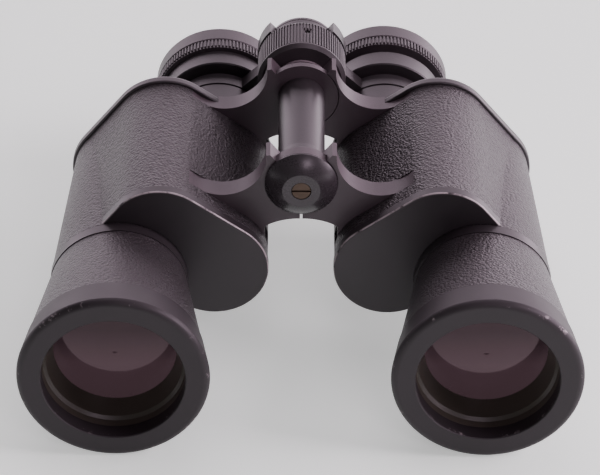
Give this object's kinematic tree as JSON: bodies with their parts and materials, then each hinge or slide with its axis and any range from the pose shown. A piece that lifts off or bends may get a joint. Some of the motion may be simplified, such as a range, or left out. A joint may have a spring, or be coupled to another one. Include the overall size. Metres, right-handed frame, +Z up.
{
  "type": "binoculars",
  "caption": "Prism binoculars with leatherette-covered housings, flared objective barrels, a folding centre hinge, a ribbed focus wheel and an eyepiece bridge.",
  "frame": {"origin": "under the middle of the whole object's box, on the surface that the front rings rest on", "axes": "+X across the two barrels, +Y from the objectives to the eyepieces along the optical axes, +Z up; hinge above"},
  "size_m": [0.1788, 0.1678, 0.0767],
  "materials": {
    "satin_black_paint": "satin, fine cast grain, bare bright edges",
    "gloss_black_paint": "semi-gloss",
    "worn_black_paint": "satin, rubbed",
    "leatherette": "wrinkled grain, matte",
    "blackened_steel": "blackened",
    "spring_steel": "bright",
    "prism_glass": "polished",
    "coated_glass": "coated",
    "olive_black_ring": "satin",
    "anodised_black": "matte black anodised",
    "knurled_black": "ribbed, semi-gloss",
    "black_plastic": "satin moulded",
    "bronze_screw": "aged, slotted"
  },
  "bodies": {
    "left_half": {"hinge_axle": "spring_steel", "hinge_cap_screw": "bronze_screw", "hinge_front_cap": "gloss_black_paint", "hinge_rear_collar": "worn_black_paint", "hinge_tube": "satin_black_paint", "left_barrel_covering": "leatherette", "left_crown_lens": "coated_glass", "left_flint_lens": "coated_glass", "left_front_plate": "satin_black_paint", "left_front_prism": "prism_glass", "left_housing_covering": "leatherette", "left_lens_cell": "anodised_black", "left_lens_retaining_ring": "olive_black_ring", "left_objective_barrel": "satin_black_paint", "left_objective_bezel": "gloss_black_paint", "left_prism_clips": "spring_steel", "left_prism_housing": "satin_black_paint", "left_rear_plate": "satin_black_paint", "left_rear_plate_screws": "blackened_steel", "left_rear_prism": "prism_glass"},
    "right_half": {"right_barrel_covering": "leatherette", "right_crown_lens": "coated_glass", "right_flint_lens": "coated_glass", "right_front_plate": "satin_black_paint", "right_front_prism": "prism_glass", "right_housing_covering": "leatherette", "right_lens_cell": "anodised_black", "right_lens_retaining_ring": "olive_black_ring", "right_objective_barrel": "satin_black_paint", "right_objective_bezel": "gloss_black_paint", "right_prism_clips": "spring_steel", "right_prism_housing": "satin_black_paint", "right_rear_plate": "satin_black_paint", "right_rear_plate_screws": "blackened_steel", "right_rear_prism": "prism_glass"},
    "focus_wheel": {"focus_wheel": "knurled_black", "focus_wheel_grub_screw": "blackened_steel"},
    "eyepiece_carriage": {"bridge_hub_cap": "gloss_black_paint", "focus_spindle": "spring_steel", "left_bridge_arm": "satin_black_paint", "left_eye_lens": "coated_glass", "left_eye_lens_ring": "anodised_black", "left_eyecup": "black_plastic", "left_eyepiece_lens_cell": "anodised_black", "left_eyepiece_ring": "knurled_black", "left_eyepiece_tube": "satin_black_paint", "left_field_lens": "coated_glass"},
    "right_bridge": {"right_bridge_arm": "satin_black_paint", "right_eyepiece_tube": "satin_black_paint"},
    "dioptre_cell": {"right_eye_lens": "coated_glass", "right_eye_lens_ring": "anodised_black", "right_eyepiece_lens_cell": "anodised_black", "right_field_lens": "coated_glass"},
    "dioptre_ring": {"right_eyecup": "black_plastic", "right_eyepiece_ring": "knurled_black"}
  },
  "joints": [
    {"name": "hinge_fold", "type": "hinge", "parent": "left_half", "child": "right_half", "pos_m": [0, 0, 0.062], "axis": [0, -1, 0], "range_deg": [-2.5, 44]},
    {"name": "focus_turn", "type": "hinge", "parent": "left_half", "child": "focus_wheel", "pos_m": [0, 0, 0.062], "axis": [0, 1, 0], "range_deg": [0, 380]},
    {"name": "focus_travel", "type": "slide", "parent": "left_half", "child": "eyepiece_carriage", "axis": [0, 1, 0], "range_m": [0, 0.006]},
    {"name": "bridge_fold", "type": "hinge", "parent": "eyepiece_carriage", "child": "right_bridge", "pos_m": [0, 0, 0.062], "axis": [0, -1, 0], "range_deg": [-2.5, 44]},
    {"name": "dioptre_turn", "type": "hinge", "parent": "dioptre_cell", "child": "dioptre_ring", "pos_m": [0.0282, 0, 0.0348], "axis": [0, 1, 0], "range_deg": [-150, 150]},
    {"name": "dioptre_travel", "type": "slide", "parent": "right_bridge", "child": "dioptre_cell", "axis": [0, 1, 0], "range_m": [-0.0015, 0.0015]}
  ],
  "couplings": [
    {"joint": "focus_turn", "follows": "focus_travel", "rad_per_m": 1105.3},
    {"joint": "bridge_fold", "follows": "hinge_fold", "ratio": 1},
    {"joint": "dioptre_travel", "follows": "dioptre_turn", "m_per_rad": 0.0005729}
  ]
}
